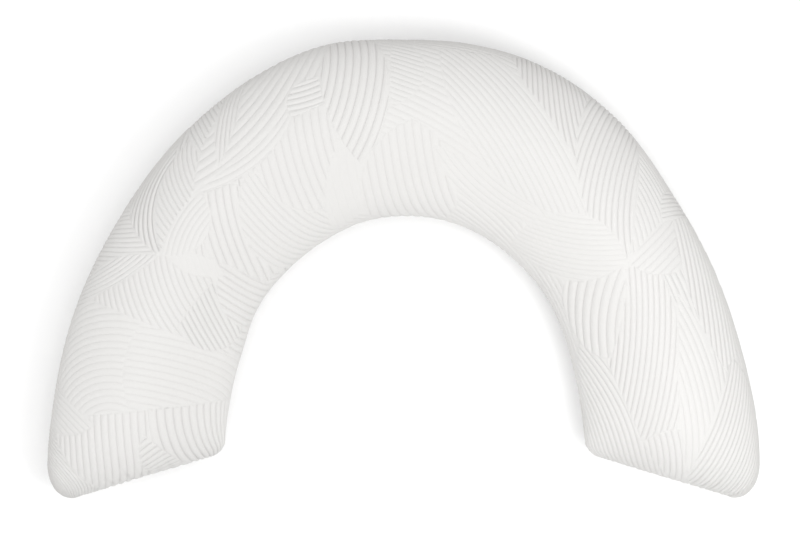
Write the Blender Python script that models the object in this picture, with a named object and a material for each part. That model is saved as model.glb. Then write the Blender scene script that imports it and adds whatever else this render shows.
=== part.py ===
"""Body pillow: a half-moon tube of knitted cloth, filled and lying on its back.

A front panel and a back panel, cut from one knit, meet in a seam all round at mid-height. The knit's ribs
lie in overlapping leaf-shaped fields. Both panels are worked out flat, as a maker would cut them, and then
wrapped over the fill. Metres, +Z up, X along the pillow's width, +Y towards the top of its arch.
"""

import math
from collections import namedtuple

import bmesh
import bpy
import numpy as np
from mathutils import Vector
from mathutils.geometry import delaunay_2d_cdt

MM = 0.001

# The plan: a band swept about the arch's centre, from one cut end to the other.
END_ANGLES = (-17.0, 197.0)  # degrees, anticlockwise from +X
MID_RADIUS = 0.392  # of the band's middle, for lengths along it
HALF_LENGTH = math.radians(END_ANGLES[1] - END_ANGLES[0]) / 2 * MID_RADIUS
MIDDLE_ANGLE = (END_ANGLES[0] + END_ANGLES[1]) / 2
OUTER_CORNER = 0.045  # radius of the rounded corner in plan
INNER_CORNER = 0.022

# The section: both panels meet at the seam's height.
SEAM_HEIGHT = 0.080
SEAM_DEPTH = 0.003  # how far the stitches draw the seam in
SEAM_MARGIN = 0.009  # from the seam to where the cloth stands out again
NOMINAL_HALF_WIDTH = 0.1325
NOMINAL_CROWN = 0.175

Section = namedtuple("Section", "angle inner outer crown")  # degrees, mm, mm, mm
SECTIONS = [
    Section(-17.0, 285, 554, 170),
    Section(-7.5, 271, 536, 172),
    Section(7.5, 259, 511, 174),
    Section(22.5, 258, 502, 175),
    Section(37.5, 262, 505, 176),
    Section(52.5, 265, 525, 175),
    Section(67.5, 270, 538, 174),
    Section(78.0, 272, 539, 173),
    Section(90.0, 272, 536, 173),
    Section(103.0, 270, 541, 174),
    Section(115.0, 264, 530, 175),
    Section(130.0, 259, 515, 176),
    Section(147.5, 257, 504, 175),
    Section(165.0, 252, 510, 174),
    Section(180.0, 260, 524, 173),
    Section(197.0, 280, 556, 170),
]

# How each panel wraps over the fill: which way it faces, the flat share of its half width, the length in
# plan in which its end comes down to the seam, and how far its middle stands off the seam.
Panel = namedtuple("Panel", "up flat_share end_run rise")
FRONT = Panel(1, 0.10, 0.100, NOMINAL_CROWN - SEAM_HEIGHT)
BACK = Panel(-1, 0.40, 0.070, SEAM_HEIGHT)
WRAP_POINTS = 60  # from the edge of the flat to the seam
SLOPE_STEP = 0.0005  # over which the cloth's slope is measured

# The knit: ridges and valleys.
RIB_SPREAD = 1.3  # the solid's ribs lie this much further apart than the cloth's
RIDGE_LIFT = 0.0009
VALLEY_LIFT = -0.0006
RIB_STEP = 0.020  # between points along a rib
RIB_SAMPLE = 0.002
SHORTEST_RIB = 0.010
FIELD_GAP = 0.003  # a rib stops this far from the next field
LEAN_STEP = 0.020  # along a rib, to either side of its leaf's middle
STRAIGHTEST_BOW = 0.0001
STRAIGHT_RADIUS = 20.0
ARC_POINTS = 25
POINT_GAP = 0.0035  # between the nearest points of two ribs
MERGE_WITHIN = 1e-6
INSIDE_ONLY = 1  # how the cutting into triangles treats what lies outside the seam

# Points round the seam.
SEAM_STEP = 0.020
CORNER_TURNS = (0, 18, 36, 54, 72)  # degrees
END_PIECES = 10  # along each end's straight seam

# The back panel's rows along the band, and the shares of its turn up to the seam that get one.
BACK_ROWS = 46
BACK_TURNS = (0.25, 0.5, 0.75)

# The leaf-shaped fields, in mm of plan from the arch's centre. Each lies between two arcs from tip to end,
# whose bows are their heights over that chord, to the left of the way along it. Its ribs lean at an angle
# from +X at its middle. They curve with a radius whose centre is on their left, or on their right if it is
# negative, or run straight if it is 0. Bold is the share of the full relief that they have. A later field
# covers an earlier one.
Leaf = namedtuple("Leaf", "tip_x tip_y end_x end_y bow other_bow lean radius pitch bold", defaults=[1.0])
Field = namedtuple("Field", "ends bow other_bow hub pitch bold")  # a leaf on a flat panel, in metres
LEAVES = [
    # what shows between the fields
    Leaf(-640, 120, 60, 620, 60, -420, 112, 0, 10, 0.7),
    Leaf(-60, 620, 660, 60, 130, -420, 124, 500, 10, 0.4),
    Leaf(-200, -200, -640, -60, -160, 60, 92, 0, 12),
    Leaf(660, -280, 360, 330, -460, 130, 100, 700, 9),
    # left leg
    Leaf(-400, -24, -215, 8, 0, -170, 112, -1200, 12.5, 0.9),
    Leaf(-382, 40, -376, -175, 0, -175, 92, 0, 11, 0.85),
    Leaf(-520, -38, -428, -148, -5, -120, 126, -250, 6),
    Leaf(-400, -28, -322, -110, 2, -30, 31, 0, 10, 0.85),
    Leaf(-590, -36, -250, 6, 0, 200, 2, -125, 10, 0.5),
    Leaf(-400, -14, -205, 8, 0, 135, 163, 400, 10, 0.35),
    Leaf(-532, 62, -452, -34, -4, -50, 136, -160, 8, 0.6),
    # left side
    Leaf(-462, 148, -205, 36, 0, 140, 118, -200, 9, 0.75),
    Leaf(-330, 108, -252, 196, 6, -90, 114, 0, 8, 0.85),
    Leaf(-357, 213, -505, 200, -66, 22, 1, -400, 7.5),
    Leaf(-357, 213, -512, 124, 14, -24, 27, 350, 7),
    Leaf(-296, 320, -203, 170, -44, 55, 107, -400, 11, 0.6),
    Leaf(-264, 202, -180, 158, 2, -45, 150, -200, 9, 0.6),
    Leaf(-348, 213, -262, 184, 16, -13, 112, 0, 9, 0.15),
    Leaf(-357, 213, -312, 420, 66, 0, 66, -160, 8),
    Leaf(-354, 214, -268, 425, -12, 44, 112, -115, 8),
    Leaf(-354, 214, -297, 304, 11, -42, 62, -130, 8, 0.35),
    # top left
    Leaf(-228, 335, -55, 262, 16, -85, 142, -150, 9, 0.45),
    Leaf(-94, 288, -102, 446, 0, 115, 104, -400, 12, 0.55),
    Leaf(-270, 352, -258, 470, 0, 44, 122, 0, 8),
    Leaf(-308, 302, -105, 540, 46, -52, 53, 350, 13, 0.75),
    Leaf(-308, 302, -160, 424, -2, -28, 38, 200, 9.5, 0.6),
    Leaf(-270, 345, -236, 482, 14, -14, 84, -300, 7),
    Leaf(-164, 414, -98, 446, -2, 46, 18, 200, 9),
    Leaf(-102, 250, -66, 410, -34, 30, 100, -300, 12, 0.15),
    Leaf(-62, 345, -84, 556, -44, 38, 79, 300, 11.5),
    # top right
    Leaf(-21, 430, -19, 528, 0, -62, 160, 0, 8, 0.6),
    Leaf(10, 252, 12, 412, -52, 56, 102, -400, 12, 0.6),
    Leaf(42, 372, 205, 262, 18, -38, 140, -300, 9, 0.35),
    Leaf(278, 285, 150, 530, 26, -70, 97, -500, 8, 0.8),
    Leaf(60, 548, 292, 252, 22, -88, 122, 700, 9, 0.5),
    Leaf(-50, 550, 200, 502, 2, -40, 168, 600, 8, 0.6),
    # right side
    Leaf(322, 203, 318, 475, 72, -28, 74, -320, 9, 0.85),
    Leaf(328, 205, 345, 412, 4, -75, 117, 300, 8, 0.8),
    # right leg
    Leaf(352, 225, 372, -92, 46, -72, 84, 700, 8.5),
    Leaf(270, 112, 380, -140, 16, -90, 111, 290, 8.5, 0.85),
    Leaf(326, 204, 404, 292, 3, -58, 46, 500, 9.5, 0.75),
    Leaf(322, 204, 302, 62, 8, -88, 84, -200, 13),
    Leaf(160, 226, 325, 203, -32, 64, 172, -250, 7.5, 0.3),
    Leaf(400, 158, 428, -124, 50, -8, 104, 400, 9.5, 0.5),
    Leaf(397, -42, 424, -138, 30, -48, 98, 400, 9, 0.8),
    Leaf(392, 300, 486, 24, -30, 58, 100, 700, 9, 0.9),
    Leaf(424, -136, 484, 62, 8, -90, 72, 350, 8, 0.9),
    Leaf(380, 262, 430, 276, 24, -2, 0, -60, 7),
]

VALLEY_CREASE = math.radians(12)

CLOTH_COLOUR = (0.84, 0.83, 0.81)
CLOTH_ROUGHNESS = 0.85


def smooth_table(angles, column):
    """A column of SECTIONS at these angles, read from a smooth curve through its rows."""
    knots = np.array([row.angle for row in SECTIONS])
    values = np.array([getattr(row, column) for row in SECTIONS]) * MM
    slopes = np.gradient(values, knots)
    at = np.clip(np.searchsorted(knots, angles) - 1, 0, len(knots) - 2)
    span = knots[at + 1] - knots[at]
    t = (angles - knots[at]) / span
    return (
        (1 + 2 * t) * (1 - t) ** 2 * values[at]
        + t * (1 - t) ** 2 * span * slopes[at]
        + t * t * (3 - 2 * t) * values[at + 1]
        + t * t * (t - 1) * span * slopes[at + 1]
    )


def corner_cut(inside, radius):
    """How far a rounded corner cuts in, at a distance inside the end."""
    short = np.clip(radius - inside, 0, radius)
    return radius - np.sqrt(radius**2 - short**2)


def band(angles):
    """The middle radius and the half width of the band at these angles, with its corners rounded."""
    angles = np.clip(angles, *END_ANGLES)
    inside = np.radians(np.minimum(angles - END_ANGLES[0], END_ANGLES[1] - angles)) * MID_RADIUS
    inner = smooth_table(angles, "inner") + corner_cut(inside, INNER_CORNER)
    outer = smooth_table(angles, "outer") - corner_cut(inside, OUTER_CORNER)
    return (inner + outer) / 2, (outer - inner) / 2


def wrap_table(panel):
    """Across the band: cloth length from the middle, plan share and height share, point by point."""
    turn = np.linspace(0, math.pi / 2, WRAP_POINTS)
    share = np.append(0, panel.flat_share + (1 - panel.flat_share) * np.sin(turn))
    height = np.append(1, np.cos(turn))
    steps = np.hypot(np.diff(share) * NOMINAL_HALF_WIDTH, np.diff(height) * panel.rise)
    return np.append(0, np.cumsum(steps)), share, height


def end_cloth(panel):
    """Cloth length of the quarter ellipse that brings the panel's end down to the seam."""
    return math.pi / 2 * math.sqrt((panel.end_run**2 + panel.rise**2) / 2)


def flat_half_length(panel):
    return HALF_LENGTH + end_cloth(panel) - panel.end_run


def polar(points):
    """Angle in degrees, from -90 to 270, and radius."""
    angle = (np.degrees(np.arctan2(points[:, 1], points[:, 0])) + 90) % 360 - 90
    return angle, np.hypot(points[:, 0], points[:, 1])


def from_polar(angle, radius):
    turn = np.radians(angle)
    return np.stack([radius * np.cos(turn), radius * np.sin(turn)], axis=1)


def laid_flat(plan, panel):
    """Where points seen in plan lie on the flat panel."""
    angle, radius = polar(plan)
    along = np.radians(angle - MIDDLE_ANGLE) * MID_RADIUS
    inside = HALF_LENGTH - np.abs(along)
    turn = np.arccos(np.clip(1 - inside / panel.end_run, 0, 1))
    past_tuck = np.maximum(inside - panel.end_run, 0)
    flat_inside = end_cloth(panel) * turn * 2 / math.pi + past_tuck + np.minimum(inside, 0)
    flat_along = np.sign(along) * (flat_half_length(panel) - flat_inside)
    flat_angle = np.degrees(flat_along / MID_RADIUS) + MIDDLE_ANGLE
    middle, half = band(angle)
    length, share, _ = wrap_table(panel)
    across = (radius - middle) / half
    past_seam = np.maximum(np.abs(across) - 1, 0) * NOMINAL_HALF_WIDTH
    cloth = np.interp(np.abs(across), share, length) + past_seam
    return from_polar(flat_angle, middle + np.sign(across) * cloth * half / NOMINAL_HALF_WIDTH)


def place_on_band(flat, panel):
    """For flat points: the angle in plan, the turn down at the end, the signed cloth length from the middle
    of a band of the nominal width, the band's middle radius there, and its half width."""
    flat_angle, radius = polar(flat)
    flat_along = np.radians(flat_angle - MIDDLE_ANGLE) * MID_RADIUS
    flat_inside = np.maximum(flat_half_length(panel) - np.abs(flat_along), 0)
    turn = np.minimum(flat_inside / end_cloth(panel), 1) * math.pi / 2
    inside = np.maximum(flat_inside - end_cloth(panel), 0) + panel.end_run * (1 - np.cos(turn))
    angle = np.degrees(np.sign(flat_along) * (HALF_LENGTH - inside) / MID_RADIUS) + MIDDLE_ANGLE
    middle, half = band(angle)
    return angle, turn, (radius - middle) * NOMINAL_HALF_WIDTH / half, middle, half


def wrapped(flat, panel):
    """Where points of the flat panel lie on the filled pillow."""
    angle, turn, cloth, middle, half = place_on_band(flat, panel)
    length, share, height = wrap_table(panel)
    across = np.sign(cloth) * np.interp(np.abs(cloth), length, share)
    stand = np.interp(np.abs(cloth), length, height) * np.sin(turn)
    reach = smooth_table(angle, "crown") - SEAM_HEIGHT if panel.up > 0 else SEAM_HEIGHT
    plan = from_polar(angle, middle + across * half)
    return np.column_stack([plan, SEAM_HEIGHT + panel.up * reach * stand])


def lifted(flat, panel, lift):
    """The same points, each moved out square to the cloth by its lift."""
    here = wrapped(flat, panel)
    one_way = wrapped(flat + (SLOPE_STEP, 0), panel) - here
    other_way = wrapped(flat + (0, SLOPE_STEP), panel) - here
    face = np.cross(one_way, other_way)
    face *= panel.up / np.linalg.norm(face, axis=1)[:, None]
    return here + face * np.asarray(lift)[:, None]


def clear_of_seam(flat, panel, margin):
    """Whether flat points lie further than a margin from the panel's edge."""
    angle, _ = polar(flat)
    end_gap = flat_half_length(panel) - np.abs(np.radians(angle - MIDDLE_ANGLE)) * MID_RADIUS
    _, _, cloth, _, half = place_on_band(flat, panel)
    side_gap = (wrap_table(panel)[0][-1] - np.abs(cloth)) * half / NOMINAL_HALF_WIDTH
    return (end_gap > margin) & (side_gap > margin)


def seam_angles(corner):
    """Angles along one side of the band, closer together round the corners."""
    turns = np.radians(CORNER_TURNS)
    near = np.degrees(corner * (1 - np.cos(turns)) / MID_RADIUS)
    start = END_ANGLES[0] + math.degrees(corner / MID_RADIUS)
    end = END_ANGLES[1] - math.degrees(corner / MID_RADIUS)
    count = round(math.radians(end - start) * MID_RADIUS / SEAM_STEP)
    between = np.linspace(start, end, count)
    return np.concatenate([END_ANGLES[0] + near, between, (END_ANGLES[1] - near)[::-1]])


def seam_ring(inset):
    """Points all round the band in plan, anticlockwise, moved in from its edge."""
    outer_angles, inner_angles = seam_angles(OUTER_CORNER), seam_angles(INNER_CORNER)[::-1]
    middle, half = band(outer_angles)
    outer = from_polar(outer_angles, middle + half)
    middle, half = band(inner_angles)
    inner = from_polar(inner_angles, middle - half)
    shares = np.linspace(0, 1, END_PIECES + 1)[1:-1, None]
    ring = np.concatenate([outer, outer[-1] + (inner[0] - outer[-1]) * shares,
                           inner, inner[-1] + (outer[0] - inner[-1]) * shares])
    along = np.roll(ring, -1, axis=0) - np.roll(ring, 1, axis=0)
    along /= np.linalg.norm(along, axis=1)[:, None]
    return ring + inset * np.stack([-along[:, 1], along[:, 0]], axis=1)


def arc_frame(ends, bow):
    """A chord's direction, left side and length, and the signed radius and the centre of the arc over it."""
    tip, end = ends
    span = np.linalg.norm(end - tip)
    along = (end - tip) / span
    left = np.array([-along[1], along[0]])
    bow = math.copysign(max(abs(bow), STRAIGHTEST_BOW), bow)
    radius = (span**2 / 4 + bow**2) / (2 * bow)
    return along, left, span, radius, (tip + end) / 2 + left * (bow - radius)


def arc_side(ends, bow, points):
    """Signed distance of points from the arc over a chord: positive on the left of the way along it."""
    _, _, _, radius, centre = arc_frame(ends, bow)
    return math.copysign(1, radius) * np.linalg.norm(points - centre, axis=1) - radius


def arc_points(ends, bow):
    """Points along the arc over a chord."""
    along, left, span, radius, centre = arc_frame(ends, bow)
    half_turn = math.asin(min(span / 2 / abs(radius), 1))
    if abs(bow) > span / 2:
        half_turn = math.pi - half_turn
    turns = np.linspace(-half_turn, half_turn, ARC_POINTS)[:, None] * math.copysign(1, radius)
    return centre + radius * (np.cos(turns) * left + np.sin(turns) * along)


def in_leaf(field, points, margin):
    """Whether points lie within a field that is grown by a margin."""
    way = math.copysign(1, field.other_bow - field.bow)
    near = way * arc_side(field.ends, field.bow, points)
    far = way * arc_side(field.ends, field.other_bow, points)
    return (near > -margin) & (far < margin)


def hub_of(points):
    """The centre of the circle through three points."""
    (ax, ay), (bx, by) = points[1] - points[0], points[2] - points[0]
    twice_area = 2 * (ax * by - ay * bx)
    a, b = ax * ax + ay * ay, bx * bx + by * by
    return points[0] + np.array([by * a - ay * b, ax * b - bx * a]) / twice_area


def on_cloth(leaf, panel):
    """The leaf's field on the flat panel, with the hub that its ribs curve about."""
    plan = np.array([[leaf.tip_x, leaf.tip_y], [leaf.end_x, leaf.end_y]]) * MM
    ends = laid_flat(plan, panel)
    stretch = np.linalg.norm(ends[1] - ends[0]) / np.linalg.norm(plan[1] - plan[0])
    _, left, _, _, _ = arc_frame(plan, 0)
    middle = plan.mean(axis=0) + left * (leaf.bow + leaf.other_bow) / 2 * MM
    lean = math.radians(leaf.lean)
    radius = leaf.radius * MM or STRAIGHT_RADIUS
    plan_hub = middle + radius * np.array([-math.sin(lean), math.cos(lean)])
    turns = np.array([-LEAN_STEP, 0, LEAN_STEP]) / radius + lean
    rib = plan_hub + radius * np.stack([np.sin(turns), -np.cos(turns)], axis=1)
    hub = hub_of(laid_flat(rib, panel))
    to_flat = MM * stretch
    pitch = leaf.pitch * MM * RIB_SPREAD
    return Field(ends, leaf.bow * to_flat, leaf.other_bow * to_flat, hub, pitch, leaf.bold)


def rings_across(field):
    """Closely spaced points round each ridge's and valley's circle where it can cross the field."""
    outline = np.concatenate([arc_points(field.ends, field.bow), arc_points(field.ends, field.other_bow)])
    spokes = outline - field.hub
    reach = np.linalg.norm(spokes, axis=1)
    facing = math.atan2(*(outline.mean(axis=0) - field.hub)[::-1])
    swing = (np.arctan2(spokes[:, 1], spokes[:, 0]) - facing + math.pi) % (2 * math.pi) - math.pi
    hub_inside = in_leaf(field, field.hub[None], 0)[0]
    nearest = 0 if hub_inside else reach.min()
    low, high = (-math.pi, math.pi) if hub_inside else (swing.min(), swing.max())
    half_pitch = field.pitch / 2
    for number in range(max(math.floor(nearest / half_pitch), 1), math.ceil(reach.max() / half_pitch)):
        radius = number * half_pitch
        turns = facing + np.linspace(low, high, math.ceil((high - low) * radius / RIB_SAMPLE) + 2)
        yield number, field.hub + radius * np.stack([np.cos(turns), np.sin(turns)], axis=1)


def runs_of(mask):
    """The first and last index of each unbroken run of True."""
    changes = np.flatnonzero(np.diff(np.concatenate([[0], mask.astype(int), [0]])))
    return zip(changes[::2], changes[1::2] - 1)


def rib_lines(panel):
    """Each ridge and each valley of the knit, as flat points and a lift. A later field cuts off what it
    covers."""
    fields = [on_cloth(leaf, panel) for leaf in LEAVES]
    lines = []
    for order, field in enumerate(fields):
        for number, points in rings_across(field):
            kept = clear_of_seam(points, panel, SEAM_MARGIN + FIELD_GAP)
            kept &= in_leaf(field, points, -FIELD_GAP)
            for later in fields[order + 1 :]:
                kept &= ~in_leaf(later, points, FIELD_GAP)
            for first, last in runs_of(kept):
                length = (last - first) * RIB_SAMPLE
                if length >= SHORTEST_RIB:
                    picks = np.linspace(first, last, math.ceil(length / RIB_STEP) + 1).round().astype(int)
                    lift = field.bold * (RIDGE_LIFT if number % 2 else VALLEY_LIFT)
                    lines.append((points[picks], lift))
    return lines


def is_free(point, taken):
    """Whether a point keeps its distance from every taken one."""
    cell = tuple(np.floor(point / POINT_GAP).astype(int))
    near = [
        other
        for across in (-1, 0, 1)
        for up in (-1, 0, 1)
        for other in taken.get((cell[0] + across, cell[1] + up), ())
    ]
    return all(np.linalg.norm(point - other) >= POINT_GAP for other in near)


def apart(lines):
    """The lines without the points that would crowd an earlier line's, broken where they lose a point."""
    taken = {}
    kept_lines = []
    for points, lift in lines:
        free = np.array([is_free(point, taken) for point in points])
        for point in points[free]:
            taken.setdefault(tuple(np.floor(point / POINT_GAP).astype(int)), []).append(point)
        for run in np.split(np.arange(len(points)), np.flatnonzero(np.diff(free)) + 1):
            if free[run[0]]:
                kept_lines.append((points[run], lift))
    return kept_lines


def back_lines(panel):
    """Lines along the back panel: the edges of its flat, and a few between them and the seam."""
    length, share, _ = wrap_table(panel)
    flat_edge = np.interp(panel.flat_share, share, length)
    lanes = [0] + [flat_edge + (length[-1] - flat_edge) * turn for turn in (0, *BACK_TURNS)]
    end_angle = math.degrees(end_cloth(panel) / MID_RADIUS)
    flat_angle = math.degrees(flat_half_length(panel) / MID_RADIUS) - end_angle
    ends = flat_angle + end_angle * np.array(BACK_TURNS)
    rows = np.linspace(-flat_angle, flat_angle, BACK_ROWS)
    angles = MIDDLE_ANGLE + np.concatenate([-ends[::-1], rows, ends])
    _, _, _, middle, half = place_on_band(from_polar(angles, MID_RADIUS), panel)
    lines = []
    for lane in lanes:
        for side in (1, -1) if lane else (1,):
            flat = from_polar(angles, middle + side * lane * half / NOMINAL_HALF_WIDTH)
            lines.append((flat[clear_of_seam(flat, panel, SEAM_MARGIN + POINT_GAP)], 0.0))
    return lines


def panel_mesh(panel, lines):
    """A panel cut into triangles along its lines: the wrapped points inside the seam, and each triangle's
    corners by number, where the seam's own points come first."""
    seam = laid_flat(seam_ring(0), panel)
    along = np.roll(seam, -1, axis=0) - np.roll(seam, 1, axis=0)
    along /= np.linalg.norm(along, axis=1)[:, None]
    margin = seam + SEAM_MARGIN * np.stack([-along[:, 1], along[:, 0]], axis=1)
    points = [seam, margin]
    lifts = [np.zeros(2 * len(seam))]
    numbers = np.arange(len(seam))
    edges = [*zip(numbers, np.roll(numbers, -1))]
    edges += [(a + len(seam), b + len(seam)) for a, b in edges]
    first = 2 * len(seam)
    for line, lift in lines:
        edges += [(number, number + 1) for number in range(first, first + len(line) - 1)]
        points.append(line)
        lifts.append(np.full(len(line), lift))
        first += len(line)
    coords = [Vector(point) for point in np.concatenate(points)]
    edges = [(int(a), int(b)) for a, b in edges]
    cut = delaunay_2d_cdt(coords, edges, [], INSIDE_ONLY, MERGE_WITHIN)
    flat, _, triangles, sources, _, _ = cut
    lifts = np.concatenate(lifts)
    lift = [lifts[source[0]] if source else 0.0 for source in sources]
    number_of = {source[0]: number for number, source in enumerate(sources) if source}
    outline = [number_of[number] for number in range(len(seam))]
    inner = sorted(set(range(len(flat))) - set(outline))
    place = {old: new for new, old in enumerate(outline + inner)}
    inner_flat = np.array([flat[number] for number in inner])
    inner_points = lifted(inner_flat, panel, [lift[number] for number in inner])
    return inner_points, [[place[corner] for corner in triangle] for triangle in triangles]


def pillow_surface():
    """The points and the triangles of both panels, joined along the seam."""
    ring = seam_ring(SEAM_DEPTH)
    points = [np.column_stack([ring, np.full(len(ring), SEAM_HEIGHT)])]
    faces = []
    for panel, lines in ((FRONT, rib_lines(FRONT)), (BACK, back_lines(BACK))):
        offset = sum(map(len, points)) - len(ring)
        inner_points, triangles = panel_mesh(panel, apart(lines))
        for triangle in triangles:
            corners = [corner if corner < len(ring) else corner + offset for corner in triangle]
            faces.append(corners if panel.up > 0 else corners[::-1])
        points.append(inner_points)
    return np.concatenate(points), faces


def cloth_material():
    material = bpy.data.materials.new("cover")
    material.use_nodes = True
    shader = material.node_tree.nodes["Principled BSDF"]
    shader.inputs["Base Color"].default_value = (*CLOTH_COLOUR, 1)
    shader.inputs["Roughness"].default_value = CLOTH_ROUGHNESS
    shader.inputs["Metallic"].default_value = 0.0
    return material


def crease_valleys(mesh):
    """Sharp edges along the valleys between ribs, which leaves the ridges round."""
    shape = bmesh.new()
    shape.from_mesh(mesh)
    for edge in shape.edges:
        edge.smooth = edge.calc_face_angle_signed() > -VALLEY_CREASE
    shape.to_mesh(mesh)
    shape.free()


def build_pillow():
    points, faces = pillow_surface()
    low, high = points.min(axis=0), points.max(axis=0)
    points = points - [(low[0] + high[0]) / 2, (low[1] + high[1]) / 2, low[2]]
    mesh = bpy.data.meshes.new("pillow")
    mesh.from_pydata(points.tolist(), [], faces)
    mesh.shade_smooth()
    crease_valleys(mesh)
    mesh.materials.append(cloth_material())
    pillow = bpy.data.objects.new("pillow", mesh)
    bpy.context.scene.collection.objects.link(pillow)


def main():
    for thing in list(bpy.data.objects):
        bpy.data.objects.remove(thing, do_unlink=True)
    build_pillow()


main()
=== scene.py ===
# %% [markdown]
# # A half-moon body pillow
#
# This lesson dresses a body pillow: a tube of ribbed knit, about a metre and a half long, curved into an arch
# and filled with fibre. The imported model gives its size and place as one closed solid. Here that is replaced
# by a sewn cover with the ribs of its knit, in a plain studio.

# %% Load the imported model
import math
from collections import namedtuple

import bmesh
import bpy
import numpy as np
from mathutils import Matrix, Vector
from mathutils.geometry import delaunay_2d_cdt


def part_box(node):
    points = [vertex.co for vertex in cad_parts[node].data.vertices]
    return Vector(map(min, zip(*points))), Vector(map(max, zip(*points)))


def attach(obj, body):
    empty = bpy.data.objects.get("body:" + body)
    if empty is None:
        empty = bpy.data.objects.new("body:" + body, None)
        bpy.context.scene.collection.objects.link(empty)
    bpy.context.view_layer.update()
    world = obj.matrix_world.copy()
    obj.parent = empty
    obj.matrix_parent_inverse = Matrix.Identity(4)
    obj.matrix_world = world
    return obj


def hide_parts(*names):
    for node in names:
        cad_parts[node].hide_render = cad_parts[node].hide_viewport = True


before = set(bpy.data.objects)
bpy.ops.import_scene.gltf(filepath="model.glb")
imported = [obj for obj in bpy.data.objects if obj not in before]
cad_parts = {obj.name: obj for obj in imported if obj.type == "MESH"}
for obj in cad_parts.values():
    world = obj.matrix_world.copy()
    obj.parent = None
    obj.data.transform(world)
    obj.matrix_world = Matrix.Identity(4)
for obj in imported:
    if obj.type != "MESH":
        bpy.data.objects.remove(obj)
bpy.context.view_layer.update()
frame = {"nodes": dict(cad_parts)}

MM = 0.001


def add_object(name, data):
    """A new object of the scene."""
    made = bpy.data.objects.new(name, data)
    bpy.context.scene.collection.objects.link(made)
    return made


print("nodes:", ", ".join(frame["nodes"]))

# %% [markdown]
# ## The outline
#
# The maker's outline is a band swept round a centre. The table says how far its two edges lie from there,
# from one cut end to the other, and how high the filled pillow stands. A smooth curve through the rows
# keeps the slight unevenness of a stuffed thing. It could be a curve object, but every later step asks
# where the edge is at an angle, and a table answers that at once.

# %% The band's outline
END_ANGLES = (-17.0, 197.0)  # degrees, anticlockwise from +X
MIDDLE_ANGLE = (END_ANGLES[0] + END_ANGLES[1]) / 2
MID_RADIUS = 0.392  # of the band's middle, for lengths along it
HALF_LENGTH = math.radians(END_ANGLES[1] - END_ANGLES[0]) / 2 * MID_RADIUS
OUTER_CORNER = 0.045  # radius of the rounded corner in plan
INNER_CORNER = 0.022

Section = namedtuple("Section", "angle inner outer crown")  # degrees, mm, mm, mm
SECTIONS = [Section(*row) for row in (
    (-17.0, 285, 554, 170),
    (-7.5, 271, 536, 172),
    (7.5, 259, 511, 174),
    (22.5, 258, 502, 175),
    (37.5, 262, 505, 176),
    (52.5, 265, 525, 175),
    (67.5, 270, 538, 174),
    (78.0, 272, 539, 173),
    (90.0, 272, 536, 173),
    (103.0, 270, 541, 174),
    (115.0, 264, 530, 175),
    (130.0, 259, 515, 176),
    (147.5, 257, 504, 175),
    (165.0, 252, 510, 174),
    (180.0, 260, 524, 173),
    (197.0, 280, 556, 170),
)]


def smooth_table(angles, column):
    """A column of SECTIONS at these angles, read from a smooth curve through its rows."""
    knots = np.array([row.angle for row in SECTIONS])
    values = np.array([getattr(row, column) for row in SECTIONS]) * MM
    slopes = np.gradient(values, knots)
    at = np.clip(np.searchsorted(knots, angles) - 1, 0, len(knots) - 2)
    span = knots[at + 1] - knots[at]
    t = (angles - knots[at]) / span
    return (
        (1 + 2 * t) * (1 - t) ** 2 * values[at]
        + t * (1 - t) ** 2 * span * slopes[at]
        + t * t * (3 - 2 * t) * values[at + 1]
        + t * t * (t - 1) * span * slopes[at + 1]
    )


def corner_cut(inside, radius):
    """How far a rounded corner cuts in, at a distance inside the end."""
    short = np.clip(radius - inside, 0, radius)
    return radius - np.sqrt(radius**2 - short**2)


def band(angles):
    """The middle radius and the half width of the band at these angles, with its corners rounded."""
    angles = np.clip(angles, *END_ANGLES)
    inside = np.radians(np.minimum(angles - END_ANGLES[0], END_ANGLES[1] - angles)) * MID_RADIUS
    inner = smooth_table(angles, "inner") + corner_cut(inside, INNER_CORNER)
    outer = smooth_table(angles, "outer") - corner_cut(inside, OUTER_CORNER)
    return (inner + outer) / 2, (outer - inner) / 2


def polar(points):
    """Angle in degrees, from -90 to 270, and radius."""
    angle = (np.degrees(np.arctan2(points[:, 1], points[:, 0])) + 90) % 360 - 90
    return angle, np.hypot(points[:, 0], points[:, 1])


def from_polar(angle, radius):
    turn = np.radians(angle)
    return np.stack([radius * np.cos(turn), radius * np.sin(turn)], axis=1)


print("length along the middle:", round(2 * HALF_LENGTH, 3), "m")

# %% [markdown]
# ## From flat cloth to filled tube
#
# Two panels of one cut are sewn together all round, turned out and stuffed. The front panel bulges into a
# round crown, and the back panel settles flat on the bed. So the knit is worked out on flat cloth, as a
# maker's pattern would be, and then laid over the filled form. Distances along the cloth are kept, so ribs
# seem to crowd together towards the seam, as real ones do.

# %% Wrapping a flat panel over the fill
SEAM_HEIGHT = 0.080
NOMINAL_HALF_WIDTH = 0.1325
NOMINAL_CROWN = 0.175

# A panel's facing, the flat share of its half width, the length in plan in which its end comes down to the
# seam, and how far its middle stands off the seam.
Panel = namedtuple("Panel", "name up flat_share end_run rise")
FRONT = Panel("front", 1, 0.10, 0.100, NOMINAL_CROWN - SEAM_HEIGHT)
BACK = Panel("back", -1, 0.40, 0.070, SEAM_HEIGHT)
WRAP_POINTS = 60  # from the edge of the flat to the seam


def wrap_table(panel):
    """Across the band: cloth length from the middle, plan share and height share, point by point."""
    turn = np.linspace(0, math.pi / 2, WRAP_POINTS)
    share = np.append(0, panel.flat_share + (1 - panel.flat_share) * np.sin(turn))
    height = np.append(1, np.cos(turn))
    steps = np.hypot(np.diff(share) * NOMINAL_HALF_WIDTH, np.diff(height) * panel.rise)
    return np.append(0, np.cumsum(steps)), share, height


WRAP = {panel: wrap_table(panel) for panel in (FRONT, BACK)}


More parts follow.
